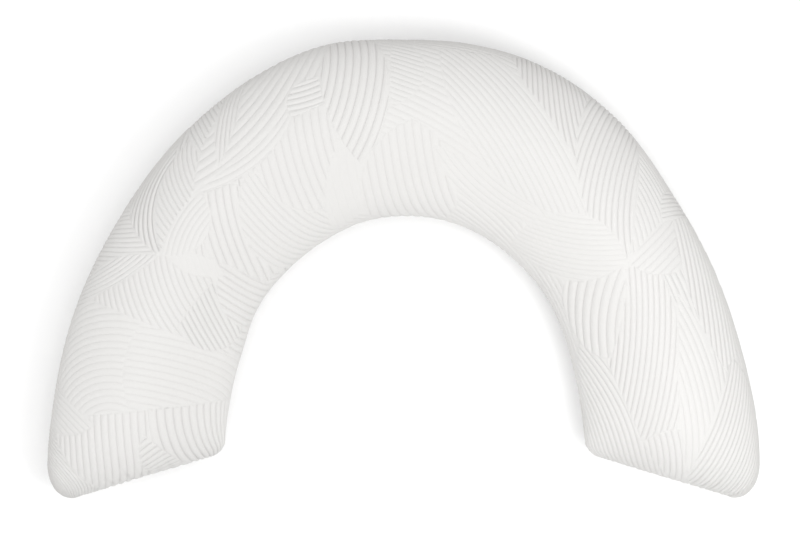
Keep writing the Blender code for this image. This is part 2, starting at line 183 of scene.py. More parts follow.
def end_cloth(panel):
    """Cloth length of the quarter ellipse that brings the panel's end down to the seam."""
    return math.pi / 2 * math.sqrt((panel.end_run**2 + panel.rise**2) / 2)


def flat_half_length(panel):
    return HALF_LENGTH + end_cloth(panel) - panel.end_run


def laid_flat(plan, panel):
    """Where points seen in plan lie on the flat panel."""
    angle, radius = polar(plan)
    along = np.radians(angle - MIDDLE_ANGLE) * MID_RADIUS
    inside = HALF_LENGTH - np.abs(along)
    turn = np.arccos(np.clip(1 - inside / panel.end_run, 0, 1))
    past_tuck = np.maximum(inside - panel.end_run, 0)
    flat_inside = end_cloth(panel) * turn * 2 / math.pi + past_tuck + np.minimum(inside, 0)
    flat_along = np.sign(along) * (flat_half_length(panel) - flat_inside)
    flat_angle = np.degrees(flat_along / MID_RADIUS) + MIDDLE_ANGLE
    middle, half = band(angle)
    length, share, _ = WRAP[panel]
    across = (radius - middle) / half
    past_seam = np.maximum(np.abs(across) - 1, 0) * NOMINAL_HALF_WIDTH
    cloth = np.interp(np.abs(across), share, length) + past_seam
    return from_polar(flat_angle, middle + np.sign(across) * cloth * half / NOMINAL_HALF_WIDTH)


Place = namedtuple("Place", "angle share height end_gap side_gap")


def place_of(flat, panel):
    """Where flat points come to lie: plan angle, signed share of the half width, share of the crown's height,
    and distances along the cloth from the end seam and the side seam."""
    flat_angle, radius = polar(flat)
    flat_along = np.radians(flat_angle - MIDDLE_ANGLE) * MID_RADIUS
    end_gap = np.maximum(flat_half_length(panel) - np.abs(flat_along), 0)
    turn = np.minimum(end_gap / end_cloth(panel), 1) * math.pi / 2
    inside = np.maximum(end_gap - end_cloth(panel), 0) + panel.end_run * (1 - np.cos(turn))
    angle = np.degrees(np.sign(flat_along) * (HALF_LENGTH - inside) / MID_RADIUS) + MIDDLE_ANGLE
    middle, half = band(angle)
    length, share, height = WRAP[panel]
    cloth = (radius - middle) * NOMINAL_HALF_WIDTH / half
    share = np.sign(cloth) * np.interp(np.abs(cloth), length, share)
    height = np.interp(np.abs(cloth), length, height) * np.sin(turn)
    side_gap = (length[-1] - np.abs(cloth)) * half / NOMINAL_HALF_WIDTH
    return Place(angle, share, height, end_gap, side_gap)


def on_form(angle, share, height, panel):
    """Points of the plain filled form, from their plan angles and shares of the half width and height."""
    middle, half = band(angle)
    reach = smooth_table(angle, "crown") - SEAM_HEIGHT if panel.up > 0 else SEAM_HEIGHT
    plan = from_polar(angle, middle + share * half)
    return np.column_stack([plan, SEAM_HEIGHT + panel.up * reach * height])


for panel in (FRONT, BACK):
    print(panel.name, "panel, flat width:", round(2 * WRAP[panel][0][-1], 3), "m")

# %% [markdown]
# ## Blowing up the fill
#
# A drawn section is too perfect. On the real pillow the fibre pushes outwards while the seam holds the
# edge, so the cloth comes off the seam at a slant and rounds out evenly. Blender's cloth can do just that.
# It starts from two coarse grids, the panels, with their edges welded into the seam. They stay coarse
# because cloth is slow and the swelling is a broad, soft shape.

# %% A coarse form to swell
FORM_ROWS = 132
END_ROWS = 13  # of them, where each end comes down to the seam
FORM_COLUMNS = 28
WELD_WITHIN = 1e-5
START_SHARE = 0.97  # the pad swells, so it starts a little flatter


def form_places(panel):
    """The rows' plan angles, the columns' width shares and all points' height shares of a panel's grid. Both
    panels have the same rows and columns in plan, so that their edges meet."""
    end_turns = np.linspace(0, math.pi / 2, END_ROWS)
    near = FRONT.end_run * (1 - np.cos(end_turns))
    between = np.linspace(FRONT.end_run, 2 * HALF_LENGTH - FRONT.end_run, FORM_ROWS + 3 - 2 * END_ROWS)
    inside = np.concatenate([near, between[1:-1], (2 * HALF_LENGTH - near)[::-1]])
    angles = END_ANGLES[0] + np.degrees(inside / MID_RADIUS)
    shares = np.sin(np.linspace(-math.pi / 2, math.pi / 2, FORM_COLUMNS + 1))
    _, share, height = WRAP[panel]
    gap = np.minimum(inside, 2 * HALF_LENGTH - inside)
    end_height = np.sin(np.arccos(np.clip(1 - gap / panel.end_run, 0, 1)))
    return angles, shares, end_height[:, None] * np.interp(np.abs(shares), share, height)[None]


def grid_points(panel):
    """The plain form's points by row and column."""
    angles, shares, heights = form_places(panel)
    rows, columns = heights.shape
    flat_angles, flat_shares = np.repeat(angles, columns), np.tile(shares, rows)
    return on_form(flat_angles, flat_shares, heights.ravel(), panel).reshape(rows, columns, 3)


def build_fill():
    """A coarse closed form of both panels, with its rows and columns kept on its points."""
    shape = bmesh.new()
    row_layer = shape.verts.layers.int.new("row")
    column_layer = shape.verts.layers.int.new("column")
    side_layer = shape.verts.layers.int.new("side")
    for panel in (FRONT, BACK):
        points = grid_points(panel)
        made = bmesh.ops.create_grid(shape, x_segments=FORM_COLUMNS, y_segments=FORM_ROWS, size=1)
        for vert in made["verts"]:
            column = round((vert.co.x + 1) / 2 * FORM_COLUMNS)
            row = round((vert.co.y + 1) / 2 * FORM_ROWS)
            place = Vector(points[row, column])
            place.z = SEAM_HEIGHT + (place.z - SEAM_HEIGHT) * START_SHARE
            vert.co = place
            on_seam = row in (0, FORM_ROWS) or column in (0, FORM_COLUMNS)
            vert[row_layer], vert[column_layer] = row, column
            vert[side_layer] = 0 if on_seam else panel.up
    bmesh.ops.remove_doubles(shape, verts=shape.verts, dist=WELD_WITHIN)
    bmesh.ops.recalc_face_normals(shape, faces=shape.faces)
    mesh = bpy.data.meshes.new("fill")
    shape.to_mesh(mesh)
    shape.free()
    return add_object("fill", mesh)


FORM_ANGLES, FORM_SHARES, _ = form_places(FRONT)
print("coarse form:", FORM_ROWS, "rows of", FORM_COLUMNS, "squares")

# %% [markdown]
# ## The swelling itself
#
# The seam's points are pinned, and a little pressure blows the form up for twenty frames. Only the movement
# of each grid point is kept, with a limit, for the fine knit that is laid over it later. Sculpting could
# round the form too, but pressure treats the whole arch alike.

# %% Swelling by cloth simulation
LAST_FRAME = 20
MOST_MOVE = 0.007
SEAM_HOLD = "seam"
CLOTH_SETTINGS = {
    "vertex_group_mass": SEAM_HOLD,
    "use_pressure": True,
    "uniform_pressure_force": 4.0,
    "quality": 6,
    "tension_stiffness": 25,
    "compression_stiffness": 25,
    "shear_stiffness": 12,
    "bending_stiffness": 2,
}


def read_layer(mesh, name):
    values = np.zeros(len(mesh.vertices), np.int32)
    mesh.attributes[name].data.foreach_get("value", values)
    return values


def points_of(mesh):
    points = np.zeros(len(mesh.vertices) * 3)
    mesh.vertices.foreach_get("co", points)
    return points.reshape(-1, 3)


def blow_up(fill):
    """The points of the fill after the cloth has swollen, with its seam held."""
    side = read_layer(fill.data, "side")
    held = fill.vertex_groups.new(name=SEAM_HOLD)
    held.add(np.flatnonzero(side == 0).tolist(), 1.0, "REPLACE")
    cloth = fill.modifiers.new("cloth", "CLOTH")
    for name, setting in CLOTH_SETTINGS.items():
        setattr(cloth.settings, name, setting)
    cloth.settings.effector_weights.gravity = 0
    cloth.collision_settings.use_collision = False
    cloth.point_cache.frame_start, cloth.point_cache.frame_end = 1, LAST_FRAME
    for number in range(1, LAST_FRAME + 1):
        bpy.context.scene.frame_set(number)
    evaluated = fill.evaluated_get(bpy.context.evaluated_depsgraph_get())
    points = points_of(evaluated.to_mesh())
    evaluated.to_mesh_clear()
    bpy.context.scene.frame_set(1)
    return points


def swelling():
    """How far each grid point of each panel moves, by row and column."""
    still = {panel: np.zeros((FORM_ROWS + 1, FORM_COLUMNS + 1, 3)) for panel in (FRONT, BACK)}
    fill = build_fill()
    swollen = blow_up(fill)
    row, column, side = (read_layer(fill.data, name) for name in ("row", "column", "side"))
    bpy.data.objects.remove(fill, do_unlink=True)
    for panel, moves in still.items():
        mine = side == panel.up
        move = swollen[mine] - grid_points(panel)[row[mine], column[mine]]
        size = np.linalg.norm(move, axis=1)
        print(f"{panel.name} panel swells by {size.mean() / MM:.1f} mm, {size.max() / MM:.1f} at most")
        move *= (MOST_MOVE / np.maximum(size, MOST_MOVE))[:, None]
        if panel.up < 0:  # the bed holds the middle of the back flat
            move *= 1 - form_places(panel)[2][row[mine], column[mine]][:, None] ** 2
        moves[row[mine], column[mine]] = move
    return still


SWELL = swelling()
print("grids of movements:", len(SWELL))

# %% [markdown]
# ## Laying the fine cloth over the swollen fill
#
# The grid's movements are read between its points with a cubic rule, so the fine cloth shows no trace of
# the coarse squares. The stitches then draw the cloth in along the seam, which leaves two soft shoulders
# with a sharp line between them.

# %% The sewn surface
SEAM_DEPTH = 0.004
SEAM_WIDTH = 0.009
SLOPE_STEP = 0.0005  # over which the cloth's slope is measured


def cubic_taps(at, last):
    """The four grid numbers round a position, and their shares."""
    first = np.clip(np.floor(at).astype(int), 0, last - 1)
    t = at - first
    shares = [
        -t * (1 - t) ** 2 / 2,
        1 + t * t * (3 * t - 5) / 2,
        t * (1 + t * (4 - 3 * t)) / 2,
        t * t * (t - 1) / 2,
    ]
    return [(np.clip(first + step, 0, last), share) for step, share in zip((-1, 0, 1, 2), shares)]


def swell_at(angle, share, panel):
    """The movement of the fill under any point of a panel."""
    rows = cubic_taps(np.interp(angle, FORM_ANGLES, np.arange(len(FORM_ANGLES))), FORM_ROWS)
    columns = cubic_taps(np.interp(share, FORM_SHARES, np.arange(len(FORM_SHARES))), FORM_COLUMNS)
    return sum(
        SWELL[panel][row, column] * (row_share * column_share)[:, None]
        for row, row_share in rows
        for column, column_share in columns
    )


def drawn_in(place):
    """How far the stitches draw points in, towards the middle of the band."""
    radial = from_polar(place.angle, 1)
    tangent = np.stack([-radial[:, 1], radial[:, 0]], axis=1)
    side = SEAM_DEPTH * np.clip(1 - place.side_gap / SEAM_WIDTH, 0, 1) ** 2
    end = SEAM_DEPTH * np.clip(1 - place.end_gap / SEAM_WIDTH, 0, 1) ** 2
    pull = -radial * (side * np.sign(place.share))[:, None]
    pull -= tangent * (end * np.sign(place.angle - MIDDLE_ANGLE))[:, None]
    return np.column_stack([pull, np.zeros(len(pull))])


def sewn(flat, panel):
    """Where points of the flat panel lie on the sewn and filled pillow, without the knit's relief."""
    place = place_of(flat, panel)
    form = on_form(place.angle, place.share, place.height, panel)
    return form + swell_at(place.angle, place.share, panel) + drawn_in(place)


def lifted(flat, panel, lift):
    """The same points, each moved out square to the cloth by its lift."""
    here = sewn(flat, panel)
    one_way = sewn(flat + (SLOPE_STEP, 0), panel) - here
    other_way = sewn(flat + (0, SLOPE_STEP), panel) - here
    face = np.cross(one_way, other_way)
    face *= panel.up / np.linalg.norm(face, axis=1)[:, None]
    return here + face * lift[:, None]


top = np.array([MIDDLE_ANGLE])
print("middle of the arch's crown:", sewn(from_polar(top, band(top)[0]), FRONT).round(3))

# %% [markdown]
# ## The knit's fields
#
# The cover is a rib knit whose ribs lie in fields shaped like long leaves. Inside a field the ribs run side
# by side and bend together round a far centre. A field is described by the two arcs of its outline and by
# how its ribs lean, bend and are spaced at its middle. Some are knitted boldly, and others nearly vanish.
# They are listed from the bottom up, as a painter would lay them: a later one covers what it overlaps. The
# back panel is the same cloth turned over.

# %% The table of fields
# Millimetres of plan from the arch's centre. The bows are the heights of the two arcs over the chord, to the
# left of the way from tip to end. At the middle the ribs lean by degrees from +X and bend with the radius,
# which is negative for a centre on their right and 0 for straight ones. Bold is their share of full relief.
Leaf = namedtuple("Leaf", "tip_x tip_y end_x end_y bow other_bow lean radius pitch bold", defaults=[1.0])
LEAVES = [Leaf(*row) for row in (
    # what shows between the fields
    (-640, 120, 60, 620, 60, -420, 112, 0, 10, 1.1),
    (-60, 620, 660, 60, 130, -420, 124, 500, 10, 0.4),
    (-200, -200, -640, -60, -160, 60, 92, 0, 12, 0.3),
    (660, -280, 360, 330, -460, 130, 100, 700, 9, 0.85),
    # left leg
    (-400, -10, -215, 8, 0, -170, 112, -1200, 12.5, 1.05),
    (-382, 40, -376, -175, 0, -175, 92, 0, 11, 0.85),
    (-520, -38, -428, -148, -5, -120, 126, -250, 6, 0.65),
    (-380, -50, -315, -108, 2, -30, 31, 0, 10, 0.95),
    (-590, -36, -250, 6, 0, 200, 2, -125, 10, 0.5),
    (-400, -14, -205, 8, 0, 135, 163, 400, 10, 0.5),
    (-532, 62, -452, -34, -4, -50, 136, -160, 8, 0.45),
    # left side
    (-462, 148, -205, 36, 0, 140, 118, -200, 9, 0.75),
    (-330, 108, -252, 196, 6, -90, 114, 0, 8, 0.95),
    (-357, 213, -505, 200, -66, 22, 1, -400, 7.5, 0.65),
    (-357, 213, -512, 124, 14, -24, 27, 350, 7, 0.6),
    (-296, 320, -203, 170, -44, 55, 107, -400, 11, 0.9),
    (-264, 202, -180, 158, 2, -45, 150, -200, 9, 0.8),
    (-348, 213, -262, 184, 16, -13, 112, 0, 9, 0.15),
    (-357, 213, -312, 420, 66, 0, 66, -160, 8, 1.3),
    (-354, 214, -268, 425, -12, 44, 112, -115, 8, 0.75),
    (-354, 214, -297, 304, 11, -42, 62, -130, 8, 0.4),
    # top left
    (-228, 335, -55, 262, 16, -85, 142, -150, 9, 0.6),
    (-94, 288, -102, 446, 0, 115, 104, -400, 12, 0.75),
    (-270, 352, -258, 470, 0, 44, 122, 0, 8, 0.75),
    (-308, 302, -105, 540, 46, -52, 53, 350, 13, 0.65),
    (-308, 302, -160, 424, -2, -28, 38, 200, 9.5, 0.5),
    (-270, 345, -236, 482, 14, -14, 84, -300, 7, 0.65),
    (-164, 414, -98, 446, -2, 46, 18, 200, 9, 0.7),
    (-102, 250, -66, 410, -34, 30, 100, -300, 12, 0.15),
    (-62, 345, -84, 556, -44, 38, 79, 300, 11.5),
    # top right
    (-21, 430, -19, 528, 0, -42, 160, 0, 8, 0.4),
    (10, 252, 12, 412, -52, 56, 102, -400, 12, 0.65),
    (42, 372, 205, 262, 18, -38, 140, -300, 9, 0.35),
    (278, 285, 150, 530, 26, -70, 97, -500, 8),
    (60, 548, 292, 252, 22, -88, 122, 700, 9, 0.5),
    (-50, 550, 200, 502, 2, -40, 168, 600, 8, 0.7),
    # right side
    (322, 203, 318, 475, 72, -28, 74, -320, 9, 0.9),
    (328, 205, 345, 412, 4, -75, 117, 300, 8, 0.6),
    # right leg
    (352, 225, 372, -92, 46, -72, 84, 700, 8.5, 0.85),
    (397, -42, 424, -138, 30, -48, 98, 400, 9, 0.8),
    (270, 112, 425, -135, 4, -90, 111, 450, 8.5, 0.75),
    (326, 204, 404, 292, 3, -58, 46, 500, 9.5, 0.6),
    (322, 204, 302, 62, 8, -88, 84, -200, 13, 0.9),
    (160, 226, 325, 203, -32, 64, 172, -250, 7.5, 0.35),
    (400, 158, 428, -124, 50, -8, 104, 400, 9.5, 0.6),
    (392, 300, 486, 24, -30, 58, 100, 700, 9, 1.1),
    (424, -136, 484, 62, 8, -90, 72, 350, 8, 0.9),
    (380, 262, 430, 276, 24, -2, 0, -60, 7, 0.7),
)]


def turned_over(leaf):
    """The same leaf seen from the cloth's other side."""
    return Leaf(-leaf.tip_x, leaf.tip_y, -leaf.end_x, leaf.end_y, -leaf.bow, -leaf.other_bow,
                180 - leaf.lean, -leaf.radius, leaf.pitch, leaf.bold)


print(len(LEAVES), "fields of ribs on each panel")

# %% [markdown]
# ## Where a field lies on the cloth
#
# Every question about a field comes down to circles. Its outline is two arcs over one chord, so a point is
# inside where it lies between them. Its ribs are rings round one hub, so a rib's number is a distance. The
# table is written as the pillow is seen from above, and this step carries it over to the flat cloth.

# %% Fields on the flat panels
LEAN_STEP = 0.020  # along a rib, to either side of its field's middle
STRAIGHTEST_BOW = 0.0001
STRAIGHT_RADIUS = 20.0
Field = namedtuple("Field", "ends bow other_bow hub pitch bold")  # a leaf on a flat panel, in metres


def arc_frame(ends, bow):
    """A chord's direction, left side and length, and the signed radius and the centre of the arc over it."""
    tip, end = ends
    span = np.linalg.norm(end - tip)
    along = (end - tip) / span
    left = np.array([-along[1], along[0]])
    bow = math.copysign(max(abs(bow), STRAIGHTEST_BOW), bow)
    radius = (span**2 / 4 + bow**2) / (2 * bow)
    return along, left, span, radius, (tip + end) / 2 + left * (bow - radius)


def arc_side(ends, bow, points):
    """Signed distance of points from the arc over a chord: positive on the left of the way along it."""
    _, _, _, radius, centre = arc_frame(ends, bow)
    return math.copysign(1, radius) * np.linalg.norm(points - centre, axis=1) - radius


def depth_in(field, points):
    """How far inside a field points lie, and below zero outside it."""
    way = math.copysign(1, field.other_bow - field.bow)
    near = way * arc_side(field.ends, field.bow, points)
    far = way * arc_side(field.ends, field.other_bow, points)
    return np.minimum(near, -far)


def hub_of(points):
    """The centre of the circle through three points."""
    (ax, ay), (bx, by) = points[1] - points[0], points[2] - points[0]
    twice_area = 2 * (ax * by - ay * bx)
    a, b = ax * ax + ay * ay, bx * bx + by * by
    return points[0] + np.array([by * a - ay * b, ax * b - bx * a]) / twice_area


def on_cloth(leaf, panel):
    """The leaf's field on the flat panel, with the hub that its ribs curve about."""
    plan = np.array([[leaf.tip_x, leaf.tip_y], [leaf.end_x, leaf.end_y]]) * MM
    ends = laid_flat(plan, panel)
    stretch = np.linalg.norm(ends[1] - ends[0]) / np.linalg.norm(plan[1] - plan[0])
    _, left, _, _, _ = arc_frame(plan, 0)
    middle = plan.mean(axis=0) + left * (leaf.bow + leaf.other_bow) / 2 * MM
    lean = math.radians(leaf.lean)
    radius = leaf.radius * MM or STRAIGHT_RADIUS
    plan_hub = middle + radius * np.array([-math.sin(lean), math.cos(lean)])
    turns = np.array([-LEAN_STEP, 0, LEAN_STEP]) / radius + lean
    rib = plan_hub + radius * np.stack([np.sin(turns), -np.cos(turns)], axis=1)
    hub = hub_of(laid_flat(rib, panel))
    to_flat = MM * stretch
    return Field(ends, leaf.bow * to_flat, leaf.other_bow * to_flat, hub, leaf.pitch * MM, leaf.bold)


FIELDS = {
    FRONT: [on_cloth(leaf, FRONT) for leaf in LEAVES],
    BACK: [on_cloth(turned_over(leaf), BACK) for leaf in LEAVES],
}
print("hub of the first field:", FIELDS[FRONT][0].hub.round(3))

# %% [markdown]
# ## The height of the ribs
#
# A jacquard knit has broad, soft ridges with narrow valleys between them, where the yarn passes to the
# back. One rule gives that height anywhere: a wave of the distance from the field's hub, with its valleys
# made narrow. At a field's border the ribs run out within a stitch or two. A displacement image could hold
# the same heights, but it would have to be painted first.

# %% Relief of the knit
RIDGE_HEIGHT = 0.0017
PLAIN_LEVEL = 0.6  # the share of the ridges' height at which cloth without ribs lies
VALLEY_POWER = 3.0
BORDER_WIDTH = 0.0014
SEAM_FADE = 0.004
FAR_OFF = 1.0  # further than any border


def smooth_step(t):
    t = np.clip(t, 0, 1)
    return t * t * (3 - 2 * t)


def showing(flat, panel):
    """The number of the field that shows at each point, and how boldly: fainter close to its border."""
    owner = np.zeros(len(flat), int)
    gap = np.full(len(flat), FAR_OFF)
    for number, field in enumerate(FIELDS[panel]):
        depth = depth_in(field, flat)
        owner = np.where(depth > 0, number, owner)
        gap = np.where(depth > 0, depth, np.minimum(gap, -depth))
    bold = np.array([field.bold for field in FIELDS[panel]])[owner]
    return owner, bold * smooth_step(gap / BORDER_WIDTH)


def rib_turns(flat, owner, panel):
    """How many ribs each point lies from its field's hub. Whole numbers are valleys."""
    hubs = np.array([field.hub for field in FIELDS[panel]])[owner]
    pitches = np.array([field.pitch for field in FIELDS[panel]])[owner]
    return np.linalg.norm(flat - hubs, axis=1) / pitches


def ridge_share(flat, panel):
    """From 0 in the knit's valleys to 1 on its ridges."""
    owner, bold = showing(flat, panel)
    valley = ((1 + np.cos(2 * math.pi * rib_turns(flat, owner, panel))) / 2) ** VALLEY_POWER
    return PLAIN_LEVEL + (1 - valley - PLAIN_LEVEL) * bold


print("ridges stand", round(RIDGE_HEIGHT / MM, 2), "mm over their valleys")

# %% [markdown]
# ## Cutting the panels along their ribs
#
# A plain grid fine enough for ribs that run every way would need a million faces. So each panel is cut into
# triangles along the ribs themselves: a line of points down every valley, ridge and flank, and round every
# border. Blender's Delaunay tool fills the space between the lines and keeps each line as an edge.

# %% Lines of points for the cut
RIB_LINES = (0.0, 0.17, 0.5, 0.83)  # shares of the way from one valley to the next
LINE_SAMPLE = 0.001
LINE_STEP = 0.006
SHORTEST_LINE = 0.004
BORDER_GAP = 0.0012
SEAM_CLEAR = 0.0014


def arc_points(ends, bow):
    """Closely spaced points along the arc over a chord."""
    along, left, span, radius, centre = arc_frame(ends, bow)
    half_turn = math.asin(min(span / 2 / abs(radius), 1))
    if abs(bow) > span / 2:
        half_turn = math.pi - half_turn
    count = math.ceil(2 * half_turn * abs(radius) / LINE_SAMPLE)
    turns = np.linspace(-half_turn, half_turn, count)[:, None] * math.copysign(1, radius)
    return centre + radius * (np.cos(turns) * left + np.sin(turns) * along)


def rib_circles(field):
    """Closely spaced points round each circle of the field's ribs, where it can cross the field."""
    outline = np.concatenate([arc_points(field.ends, field.bow), arc_points(field.ends, field.other_bow)])
    spokes = outline - field.hub
    reach = np.linalg.norm(spokes, axis=1)
    facing = math.atan2(*(outline.mean(axis=0) - field.hub)[::-1])
    swing = (np.arctan2(spokes[:, 1], spokes[:, 0]) - facing + math.pi) % (2 * math.pi) - math.pi
    hub_inside = depth_in(field, field.hub[None])[0] > 0
    nearest = 0 if hub_inside else reach.min()
    low, high = (-math.pi, math.pi) if hub_inside else (swing.min(), swing.max())
    circles = []
    for number in range(math.floor(nearest / field.pitch), math.ceil(reach.max() / field.pitch)):
        for share in RIB_LINES:
            radius = (number + share) * field.pitch
            if radius:
                count = math.ceil((high - low) * radius / LINE_SAMPLE) + 2
                turns = facing + np.linspace(low, high, count)
                circles.append(field.hub + radius * np.stack([np.cos(turns), np.sin(turns)], axis=1))
    return circles


def seam_gap(flat, panel):
    place = place_of(flat, panel)
    return np.minimum(place.end_gap, place.side_gap)


def kept_pieces(group, kept):
    """The unbroken kept stretches of a group of lines, with a point at each step."""
    points = np.concatenate(group)
    line = np.repeat(np.arange(len(group)), [len(part) for part in group])
    breaks = np.flatnonzero((np.diff(line) != 0) | (np.diff(kept) != 0)) + 1
    pieces = []
    for run in np.split(np.arange(len(points)), breaks):
        length = (len(run) - 1) * LINE_SAMPLE
        if kept[run[0]] and length >= SHORTEST_LINE:
            picks = np.linspace(run[0], run[-1], math.ceil(length / LINE_STEP) + 1)
            pieces.append(points[picks.round().astype(int)])
    return pieces


def guide_lines(panel):
    """Lines of flat points along every border and rib that shows."""
    borders, ribs = [], []
    fields = FIELDS[panel]
    for order, field in enumerate(fields):
        arcs = [arc_points(field.ends, field.bow), arc_points(field.ends, field.other_bow)]
        for group, gap, pieces in ((arcs, 0.0, borders), (rib_circles(field), BORDER_GAP, ribs)):
            points = np.concatenate(group)
            kept = seam_gap(points, panel) > SEAM_CLEAR
            if gap:
                kept &= depth_in(field, points) > gap
            for later in fields[order + 1 :]:
                kept &= depth_in(later, points) < -gap
            pieces += kept_pieces(group, kept)
    return borders + ribs


print("circles of ribs in the first field:", len(rib_circles(FIELDS[FRONT][0])))

# %% [markdown]
# ## Keeping points apart
#
# Two points closer than a stitch make a sliver of a triangle, which shades badly. So each new point looks
# into a table of small square cells for an earlier neighbour, and is left out if it finds one. A line that
# loses a point is broken there.

# %% Points that keep their distance
POINT_GAP = 0.0013


def claim(points, taken):
    """Puts points into the table of the taken ones."""
    for point in points:
        taken.setdefault(tuple(np.floor(point / POINT_GAP).astype(int)), []).append(point)


def is_free(point, taken):
    """Whether a point keeps its distance from every taken one."""
    cell = tuple(np.floor(point / POINT_GAP).astype(int))
    near = [
        other
        for across in (-1, 0, 1)
        for up in (-1, 0, 1)
        for other in taken.get((cell[0] + across, cell[1] + up), ())
    ]
    return all(math.dist(point, other) >= POINT_GAP for other in near)


def apart(lines, taken):
    """The lines without the points that would crowd a taken one, broken where they lose a point."""
    kept_lines = []
    for points in lines:
        free = np.array([is_free(point, taken) for point in points])
        claim(points[free], taken)
        for run in np.split(np.arange(len(points)), np.flatnonzero(np.diff(free)) + 1):
            if free[run[0]]:
                kept_lines.append(points[run])
    return kept_lines


print("kept of two points in one place:", len(apart([np.zeros((1, 2))] * 2, {})))

# %% [markdown]
# ## The seam's own points
#
# Both panels share one ring of points, which is the seam. It goes round both long edges and both cut ends,
# with closer points round the corners. Three more rings just inside it carry the soft shoulders.

# %% Points round the seam
SEAM_STEP = 0.003
SEAM_RINGS = (0.002, 0.0045, 0.0075)  # inside the seam, for its soft shoulders


def side_angles(corner):
    """Angles along one side of the band, closer together round its corners."""
    turns = np.linspace(0, math.pi / 2, math.ceil(math.pi / 2 * corner / SEAM_STEP), endpoint=False)
    near = np.degrees(corner * (1 - np.cos(turns)) / MID_RADIUS)
    start = END_ANGLES[0] + math.degrees(corner / MID_RADIUS)
    end = END_ANGLES[1] - math.degrees(corner / MID_RADIUS)
    between = np.linspace(start, end, round(math.radians(end - start) * MID_RADIUS / SEAM_STEP))
    return np.concatenate([END_ANGLES[0] + near, between, (END_ANGLES[1] - near)[::-1]])


def seam_ring():
    """Points all round the band in plan, anticlockwise."""
    sides = []
    for corner, way in ((OUTER_CORNER, 1), (INNER_CORNER, -1)):
        angles = side_angles(corner)[::way]
        middle, half = band(angles)
        sides.append(from_polar(angles, middle + way * half))
    outer, inner = sides
    end_length = np.linalg.norm(outer[-1] - inner[0])
    shares = np.linspace(0, 1, round(end_length / SEAM_STEP) + 1)[1:-1, None]
    far_end = outer[-1] + (inner[0] - outer[-1]) * shares
    near_end = inner[-1] + (outer[0] - inner[-1]) * shares
    return np.concatenate([outer, far_end, inner, near_end])


def rings_inside(seam):
    """Rings of flat points at SEAM_RINGS inside the panel's edge."""
    along = np.roll(seam, -1, axis=0) - np.roll(seam, 1, axis=0)
    along /= np.linalg.norm(along, axis=1)[:, None]
    inwards = np.stack([-along[:, 1], along[:, 0]], axis=1)
    return [seam + inset * inwards for inset in SEAM_RINGS]


print("points round the seam:", len(seam_ring()))

# %% [markdown]
# ## Gathers at the cut ends
#
# The thread of an end seam pulls the cloth into small folds, which run up from the seam and die out within
# a few centimetres. Each is a soft, narrow groove at its own uneven share of the width. Three lines of
# points run along it, so that the mesh can follow it.

# %% Folds along the end seams
Gather = namedtuple("Gather", "end share depth reach")  # which end, share of the half width, mm, mm
GATHER_WIDTH = 0.0030
GATHER_STEP = 0.003
GATHER_START = 0.011  # from the seam to a gather's first point
GATHER_END = 1.4  # times its reach, to its last one
GATHERS = [Gather(*row) for row in (
    (1, 0.86, 1.2, 20), (1, 0.62, 1.4, 28), (1, 0.47, 1.2, 22), (1, 0.36, 2.4, 46), (1, 0.25, 2.2, 34),
    (1, 0.13, 2.6, 50), (1, -0.01, 2.4, 38), (1, -0.11, 2.0, 56), (1, -0.24, 2.2, 34), (1, -0.38, 1.8, 46),
    (1, -0.53, 1.8, 30), (1, -0.72, 1.4, 24), (-1, 0.90, 1.4, 28), (-1, 0.78, 2.4, 50), (-1, 0.68, 2.2, 36),
    (-1, 0.57, 2.8, 56), (-1, 0.46, 2.4, 40), (-1, 0.34, 2.6, 52), (-1, 0.21, 1.8, 32), (-1, 0.04, 1.4, 24),
    (-1, -0.16, 1.2, 22), (-1, -0.45, 1.2, 20), (-1, -0.72, 1.2, 20),
)]


def gather_points(panel):
    """Flat points down the bottom and both flanks of each gather."""
    points = []
    for gather in GATHERS:
        gap = np.arange(GATHER_START, gather.reach * MM * GATHER_END, GATHER_STEP)
        turn = gap / end_cloth(panel) * math.pi / 2
        inside = panel.end_run * (1 - np.cos(turn))
        angle = MIDDLE_ANGLE + gather.end * np.degrees((HALF_LENGTH - inside) / MID_RADIUS)
        middle, half = band(angle)
        for side in (-1, 0, 1):
            across = gather.share * half + side * GATHER_WIDTH
            points.append(laid_flat(from_polar(angle, middle + across), panel))
    return np.concatenate(points)


def gathered(flat, panel):
    """How deep the gathers of the two end seams cut into the cloth."""
    place = place_of(flat, panel)
    _, half = band(place.angle)
    depth = np.zeros(len(flat))
    for gather in GATHERS:
        across = (place.share - gather.share) * half / GATHER_WIDTH
        inwards = place.end_gap / (gather.reach * MM)
        fold = gather.depth * MM * np.exp(-(across**2) - inwards**2)
        depth += np.where(np.sign(place.angle - MIDDLE_ANGLE) == gather.end, fold, 0)
    return depth


print("gathers:", len(GATHERS), "on each panel, the deepest", max(row.depth for row in GATHERS), "mm")

# %% [markdown]
# ## Cutting a panel out
#
# The seam, the rings inside it, the gathers and the ribs go to Blender's Delaunay tool together. It says
# which given point each of its own points came from, so the seam's points can be put first and shared by
# both panels.

# %% A panel's triangles
MERGE_WITHIN = 1e-7
INSIDE_ONLY = 1  # leaves out what lies outside the seam


